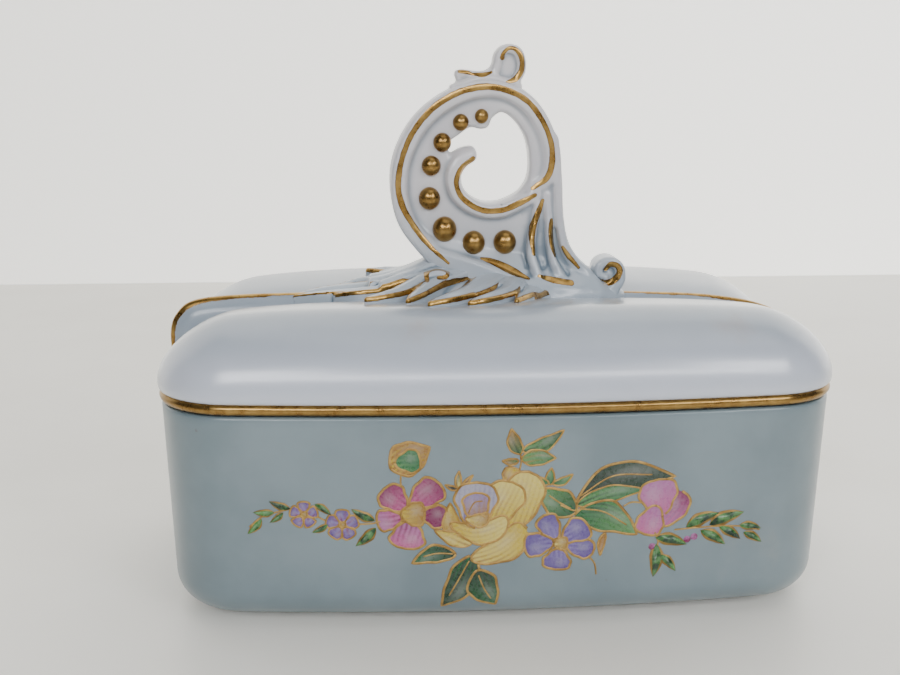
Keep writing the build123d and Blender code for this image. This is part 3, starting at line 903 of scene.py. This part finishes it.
# ------------------------------
# Acanthus leaves: cut from a clay sheet, laid over the valley on both lobes and luted
# under the handle's foot.  Their cut edges are gilded.
# ------------------------------
leaf_blades = [
    [(-53.6, -0.8, 1.6, 2.1), (-46.0, -2.4, 2.9, 2.3), (-38.0, -3.0, 3.4, 2.6), (-30.0, -2.5, 3.8, 3.6),
    (-24.0, -2.0, 4.2, 5.4), (-17.0, -1.0, 4.6, 8.2), (-11.0, 0.0, 4.2, 8.8)], [(-42.6, -6.2, 0.9, 1.8),
    (-37.0, -8.2, 2.5, 2.3), (-31.0, -8.0, 3.1, 3.0), (-25.0, -6.0, 3.3, 4.6), (-18.0, -4.0, 3.6, 6.4)],
    [(-34.2, -23.4, 0.8, 2.0), (-30.0, -20.6, 2.2, 2.4), (-25.5, -16.5, 3.0, 3.0),
    (-21.0, -11.0, 3.2, 4.2), (-15.0, -5.0, 3.6, 6.0)], [(-23.7, -27.0, 0.7, 2.0),
    (-21.5, -22.5, 1.9, 2.6), (-18.5, -16.5, 2.6, 3.5), (-14.0, -9.0, 3.4, 4.8), (-9.0, -4.0, 3.8, 6.0)],
    [(-18.2, -31.4, 0.8, 2.0), (-14.0, -28.0, 2.6, 2.5), (-9.5, -23.0, 3.6, 2.9), (-4.5, -16.0, 4.4, 3.5),
    (0.0, -8.0, 4.8, 4.6)], [(-8.0, -30.6, 0.8, 1.9), (-4.5, -28.0, 2.2, 2.3), (-0.5, -23.5, 2.9, 2.6),
    (3.0, -17.0, 3.4, 2.9), (5.0, -9.0, 4.2, 3.8)], [(4.2, -27.0, 0.7, 1.7), (6.4, -22.0, 1.7, 2.0),
    (8.2, -17.0, 2.5, 2.1), (9.0, -10.0, 3.8, 2.5)], [(9.6, -18.4, 0.9, 1.2), (11.0, -13.0, 2.4, 1.3),
    (12.0, -8.0, 3.6, 1.8)]]
leaf_curl = [
    (-18.2, 2.4, 0.9, 11.2), (-18.0, 4.8, 0.9, 11.2), (-15.4, 5.8, 1.0, 11.2), (-12.7, 5.1, 0.9, 11.2),
    (-12.8, 3.4, 0.8, 11.2), (-15.0, 3.0, 0.7, 11.0)]
leaf_bed = 1.2
leaf_gold = 0.8
leaf_mound = [((-6, 0, -1.2), (21, 16.5, 5.6)), ((8, 0, -1.6), (14, 13.5, 4.2))]
leaf_clay = Clay((-57, -34, -8), (24, 34, 12), 0.46)
sheet_x, sheet_y = leaf_clay.x[:, :, 0], leaf_clay.y[:, :, 0]
lid_level = lid_top(sheet_x, sheet_y) - lid_crown
for blade in leaf_blades:
    away, high = to_path(sheet_x, -np.abs(sheet_y), smooth_path(blade, 44))
    crease = 0.35 * np.exp(-(((away + 1.1) / 0.5) ** 2))
    ridged = high + lid_level * (high < 3.0) * 0.5 - crease + 0.25 * np.clip(-away, 0, 3)
    leaf_clay.join(soft_max(away[:, :, None], leaf_clay.z - ridged[:, :, None], 0.7), 0.35)
for mound_place, mound_size in leaf_mound:
    leaf_clay.join(leaf_clay.egg(mound_place, mound_size), 0.8)
leaf_clay.join(leaf_clay.strand(leaf_curl, edge=1.0), 0.5)
leaf_clay.cut(leaf_clay.z - (lid_level - leaf_bed)[:, :, None], 0.2)


def gild_leaves(points):
    x, y, z = points.T
    best, edge_top = np.full(len(points), 99.0), np.zeros(len(points))
    for blade in leaf_blades:
        away, high = to_path(x, -np.abs(y), smooth_path(blade, 44))
        edge_top = np.where(away < best, high, edge_top)
        best = np.minimum(best, away)
    cut_face = z - edge_top - 0.5 * (lid_top(x, y) - lid_crown) + np.where(np.abs(y) < 7, 0.7, 1.3)
    tips = np.minimum(np.minimum(leaf_gold + best, 1.0 - best), np.minimum(cut_face, (4.4 - z) * 0.5))
    curl = gild_along(points, [[(x, z, wide * 0.75) for x, z, wide, _ in leaf_curl]])
    return np.maximum(tips, np.minimum(curl, np.abs(y) - 8.0))


leaves = fired("acanthus_spray", leaf_clay, gild_leaves)
dress(leaves, pooled_gilt("leaf_glaze"), "lid", "acanthus_leaves")

# ------------------------------
# Flower spray on the tub's front: enamel colours brushed on over the glaze, shape by
# shape from back to front, then outlined with a fine pen in gold and fired again.
# ------------------------------
dark_green = (0.002, 0.026, 0.009)
leaf_green = (0.010, 0.105, 0.030)
pale_green = (0.085, 0.230, 0.065)
ochre = (0.250, 0.125, 0.024)
yellow = (0.460, 0.330, 0.020)
cream = (0.580, 0.480, 0.115)
plum = (0.150, 0.004, 0.062)
rose_pink = (0.430, 0.085, 0.225)
violet = (0.070, 0.034, 0.200)
lilac = (0.205, 0.160, 0.360)
grey_lilac = (0.290, 0.280, 0.350)
mauve = (0.320, 0.110, 0.275)
ink = (0.012, 0.016, 0.010)

# Each row: form, foot x, z, tip x, z, width, bend, colour at the foot, colour at the tip, streak.
painted_forms = [
    ("leaf", 2.8, 47.0, 0.5, 53.6, 3.4, 0.5, leaf_green, ochre, dark_green),
    ("leaf", 3.3, 47.8, 13.4, 53.0, 3.6, -1.0, pale_green, dark_green, dark_green),
    ("leaf", 3.0, 45.8, 11.6, 45.8, 4.2, 0.3, pale_green, leaf_green, ochre),
    ("leaf", 2.4, 45.3, -1.6, 45.4, 1.7, 0.3, leaf_green, ochre, ochre),
    ("leaf", 10.4, 38.8, 10.6, 43.2, 2.2, 0.2, leaf_green, pale_green, dark_green),
    ("leaf", 11.0, 39.0, 15.9, 41.4, 1.9, -0.5, leaf_green, pale_green, dark_green),
    ("leaf", 10.0, 39.0, 6.9, 41.2, 1.7, 0.3, leaf_green, pale_green, dark_green),
    ("leaf", 17.0, 33.6, 42.0, 39.8, 8.6, 3.6, dark_green, dark_green, ink),
    ("leaf", 17.0, 33.2, 34.6, 36.7, 4.4, 1.0, pale_green, leaf_green, dark_green),
    ("leaf", 24.6, 25.4, 23.6, 19.4, 1.7, -0.4, ochre, ochre, ochre),
    ("leaf", 16.6, 30.6, 32.8, 24.7, 8.2, 2.3, leaf_green, pale_green, dark_green),
    ("leaf", 17.0, 31.2, 7.6, 37.8, 7.4, 0.3, dark_green, pale_green, leaf_green),
    ("leaf", -13.0, 20.9, -23.8, 18.6, 4.6, -1.3, dark_green, leaf_green, dark_green),
    ("leaf", -8.4, 20.4, -16.4, 6.2, 7.6, 0.9, dark_green, dark_green, leaf_green),
    ("leaf", -7.6, 16.4, -2.8, 6.4, 7.6, -0.7, dark_green, leaf_green, ink),
    ("leaf", -28.9, 43.8, -19.4, 49.2, 8.6, 0.2, ochre, ochre, yellow),
    ("petal", -27.9, 45.2, -21.6, 46.0, 6.2, 0.0, leaf_green, leaf_green, pale_green),
    ("leaf", -12.2, 38.4, -12.2, 42.9, 1.5, 0.2, cream, ink, ink),
    ("leaf", -12.4, 38.2, -15.6, 39.4, 1.1, 0.2, ink, ink, ink),
    ("leaf", -11.4, 38.4, -8.8, 41.8, 1.0, 0.2, ochre, ochre, ink),
    ("petal", -25.4, 33.0, -30.6, 38.5, 7.0, 0.0, rose_pink, plum, plum),
    ("petal", -24.0, 33.6, -16.8, 39.6, 7.4, 0.3, rose_pink, plum, plum),
    ("petal", -26.2, 31.0, -32.4, 29.8, 5.6, 0.0, rose_pink, mauve, plum),
    ("petal", -24.2, 30.0, -25.4, 22.6, 8.6, 0.0, mauve, rose_pink, plum),
    ("petal", -21.2, 31.8, -15.4, 30.6, 6.2, 0.0, plum, plum, plum),
    ("petal", -26.6, 31.8, -20.6, 31.8, 6.4, 0.0, yellow, ochre, ochre),
    ("leaf", -12.6, 23.6, -14.4, 34.6, 4.4, 0.6, ochre, yellow, ochre),
    ("petal", -0.2, 38.6, 1.2, 43.6, 4.4, 0.0, ochre, yellow, plum),
    ("petal", 0.8, 26.6, 5.0, 42.4, 9.4, -0.8, yellow, cream, ochre),
    ("petal", -3.2, 28.6, 1.0, 39.8, 9.6, 0.3, yellow, cream, ochre),
    ("leaf", -9.0, 23.6, -18.2, 27.4, 3.6, 0.4, cream, yellow, ochre),
    ("petal", -9.0, 19.2, 4.8, 27.4, 8.0, -1.4, cream, yellow, ochre),
    ("petal", -14.4, 29.0, 0.2, 29.2, 6.4, -2.7, yellow, cream, ochre),
    ("petal", -8.2, 27.8, -7.8, 39.9, 10.6, 0.0, grey_lilac, grey_lilac, violet),
    ("petal", -7.6, 29.2, -8.2, 37.2, 6.6, 0.0, ochre, lilac, ochre),
    ("petal", -10.6, 30.4, -4.6, 30.8, 3.6, -0.9, cream, ochre, ochre),
    ("petal", 12.4, 24.4, 8.8, 30.6, 5.6, 0.0, lilac, violet, violet),
    ("petal", 14.0, 23.8, 20.4, 27.4, 7.0, 0.6, lilac, violet, violet),
    ("petal", 11.6, 23.4, 4.2, 22.6, 6.4, 0.0, lilac, violet, violet),
    ("petal", 13.0, 21.6, 12.2, 16.0, 7.2, 0.0, lilac, violet, violet),
    ("petal", 14.8, 22.4, 22.0, 21.2, 5.0, -0.4, lilac, violet, violet),
    ("petal", 11.6, 23.0, 15.2, 23.0, 3.6, 0.0, cream, ochre, ochre),
    ("petal", 39.4, 26.6, 44.0, 35.8, 6.4, -0.8, mauve, plum, rose_pink),
    ("petal", 38.8, 29.4, 37.8, 39.2, 9.8, 0.4, rose_pink, mauve, mauve),
    ("petal", 37.6, 32.2, 34.8, 24.6, 7.2, 0.2, mauve, rose_pink, mauve),
]
for middle_x, middle_z, reach in ((-50.4, 31.7, 3.5), (-41.0, 29.0, 4.1)):
    for turn in (0.3, 1.55, 2.8, 4.05, 5.3):
        painted_forms.append((
            "petal", middle_x + 0.8 * math.cos(turn), middle_z + 0.8 * math.sin(turn),
            middle_x + reach * math.cos(turn), middle_z + reach * math.sin(turn), reach * 0.85, 0.0,
            lilac, violet, plum))
    painted_forms.append((
        "petal", middle_x - 0.9, middle_z, middle_x + 0.9, middle_z, 1.6, 0.0, yellow, ochre, ochre))


def blade(form, foot, tip, width, bend, count=32):
    """Closed outline of a brushed leaf or petal from its foot to its tip."""
    foot, tip = np.array(foot), np.array(tip)
    t = np.linspace(0, 1, count)
    if form == "leaf":
        half = np.sin(math.pi * t**0.78) ** 0.9
    else:
        half = t**0.5 * np.sqrt(1 - t**5)
    half *= width / 2 / half.max() * (1 + 0.05 * np.sin(t * 15 + width * 7))
    run = tip - foot
    side = np.array([-run[1], run[0]]) / np.linalg.norm(run)
    middle = foot + t[:, None] * run + (bend * np.sin(math.pi * t))[:, None] * side
    return np.vstack([middle + half[:, None] * side, (middle - half[:, None] * side)[-2:0:-1]])


def front_y(x, z, lift):
    """Depth of the tub's bowed front, raised by lift."""
    radius = side_radius - tub_wall_inset(z) + lift
    return side_centre - np.sqrt(radius**2 - x**2)


paint_step = 0.3
paint_x, paint_z = np.meshgrid(np.arange(-66, 67, paint_step), np.arange(4, 56, paint_step), indexing="ij")
paint = np.zeros((*paint_x.shape, 3))
painted = np.zeros(paint_x.shape, bool)
outlines = []
for row, painted_form in enumerate(painted_forms):
    form, fx, fz, tx, tz, width, bend, foot_colour, tip_colour, streak_colour = painted_form
    outline = blade(form, (fx, fz), (tx, tz), width, bend)
    outlines.append(outline)
    low, high = outline.min(axis=0) - 0.5, outline.max(axis=0) + 0.5
    box = (slice(*np.searchsorted(paint_x[:, 0], (low[0], high[0]))),
           slice(*np.searchsorted(paint_z[0], (low[1], high[1]))))
    x, z = paint_x[box], paint_z[box]
    inside = in_outline(x, z, outline) < 0.1
    length = math.hypot(tx - fx, tz - fz)
    along_form = ((x - fx) * (tx - fx) + (z - fz) * (tz - fz)) / length**2
    across_form = ((z - fz) * (tx - fx) - (x - fx) * (tz - fz)) / length - bend * np.sin(math.pi * along_form)
    across_form = across_form / (width / 2)
    blend = np.clip(along_form, 0, 1)[..., None]
    colour = (1 - blend) * np.array(foot_colour) + blend * np.array(tip_colour)
    fine = np.sin(across_form * width * 2.6 + 1.3 * np.sin(along_form * 5 + row))
    coarse = 0.5 + 0.5 * np.sin(across_form * 3.1 + along_form * 4 + row * 1.7)
    strength = np.clip(0.60 * fine + 0.45 * coarse, 0, 1) * np.clip(1.15 - along_form, 0.15, 1)
    colour = colour + (np.array(streak_colour) - colour) * (0.95 * strength)[..., None]
    bloom = np.exp(-(((along_form - 0.62) / 0.22) ** 2) - ((across_form - 0.25) / 0.38) ** 2)
    colour = colour + (np.array([0.62, 0.62, 0.60]) - colour) * (0.16 * bloom)[..., None]
    paint[box][inside] = colour[inside]
    painted[box] |= inside
index = np.arange(paint_x.size).reshape(paint_x.shape)
whole = painted[:-1, :-1] & painted[1:, :-1] & painted[1:, 1:] & painted[:-1, 1:]
cells = np.column_stack([corner[whole] for corner in (
    index[:-1, :-1], index[1:, :-1], index[1:, 1:], index[:-1, 1:])])
used, cells = np.unique(cells, return_inverse=True)
x, z = paint_x.ravel()[used], paint_z.ravel()[used]
enamel_points = np.column_stack([x, front_y(x, z, 0.07), z]) * mm
enamel_mesh = bpy.data.meshes.new("enamel_spray")
enamel_mesh.from_pydata(enamel_points.tolist(), [], cells.reshape(-1, 4).tolist())
layer = enamel_mesh.attributes.new("paint", "FLOAT_COLOR", "POINT")
layer.data.foreach_set("color", np.column_stack([paint.reshape(-1, 3)[used], np.ones(len(used))]).ravel())
enamel_mesh.shade_smooth()
enamel = stand("enamel_spray", enamel_mesh)
body = enamel.modifiers.new("enamel_body", "SOLIDIFY")
body.thickness = 0.14 * mm
body.offset = -1.0


def enamel_finish(surface, colour):
    """Glossy overglaze enamel, thinner where the brush dragged."""
    drag = surface.step(surface.noise(900.0, 3.0), 0.35, 0.75)
    thin = surface.mix(drag * 0.08, colour, (0.22, 0.28, 0.31, 1))
    bump = surface.bump(0.3, 0.0001, drag)
    return surface.finish({"Base Color": thin, "Roughness": drag * 0.1 + 0.26, "Normal": bump,
                           "Coat Weight": 0.15, "Coat Roughness": 0.2})


brushed = Surface("brushed_enamel")
dress(enamel, enamel_finish(brushed, brushed.attribute("paint", out="Color")), "box")

# ------------------------------
# Pen gold of the spray: one fine raised line round every leaf and petal, broken where a
# later shape covers it, with veins, stems and stamens.
# ------------------------------
pen_half = 0.42
pen_lines = []
for row, outline in enumerate(outlines):
    form = painted_forms[row]
    loop = np.vstack([outline, outline[:1]])
    shown = np.ones(len(loop), bool)
    for later in outlines[row + 1:]:
        shown &= in_outline(loop[:, 0], loop[:, 1], later) > -0.2
    small = 0.72 if form[5] < 4.6 else 1.0
    start = None
    for i, seen in enumerate(list(shown) + [False]):
        if seen and start is None:
            start = i
        if not seen and start is not None:
            if i - start > 2:
                pen_lines.append((loop[start:i], pen_half * small))
            start = None
stems = [
    [(-63.9, 28.4), (-60.3, 31.3), (-53.6, 33.3)], [(-46.9, 31.2), (-45.2, 30.2)], [(-37.0, 29.2),
    (-33.6, 29.4), (-31.6, 30.0)], [(-26.4, 42.0), (-26.5, 40.4), (-26.3, 38.8)], [(2.8, 47.2),
    (3.0, 45.0), (2.7, 43.0)], [(13.0, 33.4), (16.6, 31.8), (17.2, 33.4)], [(29.0, 32.4), (31.0, 33.4),
    (33.6, 33.2)], [(42.5, 25.4), (50.7, 25.7), (59.3, 25.4), (65.2, 24.0)], [(20.6, 19.2), (22.2, 17.2),
    (22.7, 14.2)], [(37.4, 25.0), (38.4, 22.6), (38.0, 20.2)], [(-13.6, 21.0), (-17.6, 21.2),
    (-21.0, 20.4)], [(-9.6, 19.0), (-12.4, 13.6), (-14.6, 9.6)], [(-7.2, 15.0), (-5.8, 11.4),
    (-4.0, 8.4)], [(18.0, 35.6), (26.0, 40.6), (36.0, 40.6)], [(18.0, 32.2), (24.0, 31.2), (30.0, 27.4)],
    [(15.6, 32.4), (12.6, 34.2), (10.2, 36.0)], [(-9.8, 32.0), (-8.4, 34.6), (-6.4, 35.0)],
    [(-10.0, 30.6), (-7.4, 31.6), (-5.6, 30.6)]]
for stem in stems:
    pen_lines.append((smooth_path(stem, 16), pen_half * 0.62))
nib = ((-1.0, -0.04), (-0.55, 0.15), (0.55, 0.15), (1.0, -0.04))
pen_points, pen_faces = [], []
for line, half in pen_lines:
    run = np.gradient(line, axis=0)
    run /= np.linalg.norm(run, axis=1)[:, None] + 1e-9
    first = len(pen_points)
    for (x, z), (dx, dz) in zip(line, run):
        for aside, lift in nib:
            px, pz = x - dz * aside * half, z + dx * aside * half
            pen_points.append((px, float(front_y(px, pz, lift)), pz))
    for i in range(len(line) - 1):
        for j in range(4):
            a, b = first + 4 * i + j, first + 4 * i + (j + 1) % 4
            pen_faces.append((a, b, b + 4, a + 4))
    pen_faces += [(first, first + 1, first + 2, first + 3)]
    last = first + 4 * (len(line) - 1)
    pen_faces += [(last + 3, last + 2, last + 1, last)]
pen = solid("pen_gold", pen_points, pen_faces)
pen_gold = Surface("pen_gilding")
pen_tone, pen_rough, _ = gilding(pen_gold)
pen_gold.finish({"Base Color": pen_tone, "Metallic": 0.55, "Roughness": pen_rough + 0.15})
dress(pen, pen_gold.material, "box")

# ------------------------------
# Sprigs at both ends of the spray: small leaves set in turn along the two fine stems and
# berries beside them, each leaf brushed in one stroke and edged with the gold pen.
# ------------------------------
sprig_leaves = [
    (-60.8, 30.6, -64.5, 26.5), (-57.6, 32.3, -62.9, 32.3), (-53.6, 33.3, -58.8, 35.2),
    (-55.4, 32.3, -58.8, 29.6), (-47.6, 34.6, -43.6, 31.6), (-44.5, 29.2, -48.5, 27.0),
    (-32.9, 30.2, -38.7, 33.3), (-32.7, 28.3, -37.8, 23.4), (45.5, 26.0, 54.0, 29.4),
    (51.6, 26.2, 60.7, 29.2), (49.4, 24.8, 56.2, 20.6), (54.3, 25.6, 60.2, 21.8),
    (59.6, 25.6, 65.6, 24.4), (60.9, 23.6, 66.0, 20.6), (37.6, 23.6, 46.0, 21.2),
    (38.0, 21.8, 37.5, 12.6), (39.0, 18.8, 43.4, 14.0)]
berries = [(46.0, 22.6), (47.8, 23.2), (36.9, 21.1)]
berry_radius = 0.95


def spray_seed(name, places, values):
    """Points over the tub's front with the values that the growth reads."""
    mesh = bpy.data.meshes.new(name)
    mesh.from_pydata([(x * mm, 0, z * mm) for x, z in places], [], [])
    for key, numbers in values.items():
        mesh.attributes.new(key, "FLOAT", "POINT").data.foreach_set("value", numbers)
    return mesh


def lay_on_front(piece):
    """Bend a flat growth on to the bowed front; what stood out in Y becomes its lift."""
    for vertex in piece.data.vertices:
        x, lift, z = (value / mm for value in vertex.co)
        vertex.co.y = float(front_y(x, z, -lift)) * mm


def one_leaf(name, wide, rise):
    """A thin closed leaf blade, one unit long, lying in the XZ plane."""
    flat = blade("leaf", (0.0, 0.0), (1.0, 0.0), wide, 0.05, count=12)
    count = len(flat)
    points = [(x, y, z) for y in (rise, 0.02 * mm) for x, z in flat]
    sides = [(i, (i + 1) % count, count + (i + 1) % count, count + i) for i in range(count)]
    mesh = bpy.data.meshes.new(name)
    mesh.from_pydata(points, [], [tuple(range(count))[::-1], tuple(range(count, 2 * count))] + sides)
    return bpy.data.objects.new(name, mesh)


for name, wide, rise, slot_name in (("sprig_gold", 0.40, -0.10 * mm, "antique_gold"),
                                    ("sprig_green", 0.25, -0.16 * mm, "painted_porcelain")):
    sprig = Growth(name, {"leaf_scale": ("Float", 1.0), "turn_shift": ("Float", 0.0)})
    length = sprig.node("GeometryNodeInputNamedAttribute", {"Name": "leaf_length"}, data_type="FLOAT")[0]
    turn = sprig.node("GeometryNodeInputNamedAttribute", {"Name": "leaf_turn"}, data_type="FLOAT")[0]
    given = sprig.given.outputs
    length = sprig.node("ShaderNodeMath", {0: length, 1: given["leaf_scale"]}, operation="MULTIPLY")[0]
    turn = sprig.node("ShaderNodeMath", {0: turn, 1: given["turn_shift"]}, operation="ADD")[0]
    spin = sprig.node("ShaderNodeCombineXYZ", {"X": 0.0, "Y": turn, "Z": 0.0})[0]
    size = sprig.node("ShaderNodeCombineXYZ", {"X": length, "Y": 1.0, "Z": length})[0]
    leaf = sprig.node("GeometryNodeObjectInfo", {"Object": one_leaf(name + "_blade", wide, rise)})[-1]
    placed = sprig.scatter(leaf, Rotation=spin, Scale=size)
    seeds = spray_seed(name + "_seeds", [leaf[:2] for leaf in sprig_leaves], {
        "leaf_length": [math.hypot(tx - fx, tz - fz) * mm for fx, fz, tx, tz in sprig_leaves],
        "leaf_turn": [-math.atan2(tz - fz, tx - fx) for fx, fz, tx, tz in sprig_leaves]})
    if slot_name == "antique_gold":
        sprig_material = pen_gold.material
    else:
        sprig_green = Surface("sprig_enamel")
        shade = sprig_green.step(sprig_green.noise(420.0, 2.0), 0.35, 0.65)
        sprig_colour = sprig_green.mix(shade, (*dark_green, 1), (*pale_green, 1))
        sprig_material = enamel_finish(sprig_green, sprig_colour)
    piece = sprig.grow(name, seeds, placed, sprig_material)
    lay_on_front(piece)
    belong(piece, "box")
berry_growth = Growth("berries", {
    "berry_radius": ("Float", berry_radius * mm), "berry_rise": ("Float", 0.16 * mm)})
form = berry_growth.node("ShaderNodeCombineXYZ", {
    "X": berry_growth.given.outputs["berry_radius"], "Y": berry_growth.given.outputs["berry_rise"],
    "Z": berry_growth.given.outputs["berry_radius"]})[0]
ball = berry_growth.node("GeometryNodeMeshIcoSphere", {"Radius": 1.0, "Subdivisions": 3})[0]
placed = berry_growth.scatter(ball, Scale=form)
berry_red = Surface("berry_enamel")
shade = berry_red.step(berry_red.noise(600.0, 2.0), 0.35, 0.65)
berry_material = enamel_finish(berry_red, berry_red.mix(shade, (*plum, 1), (*mauve, 1)))
berry_seeds = spray_seed("berry_seeds", berries, {})
sprig_berries = berry_growth.grow("sprig_berries", berry_seeds, placed, berry_material)
lay_on_front(sprig_berries)
belong(sprig_berries, "box")
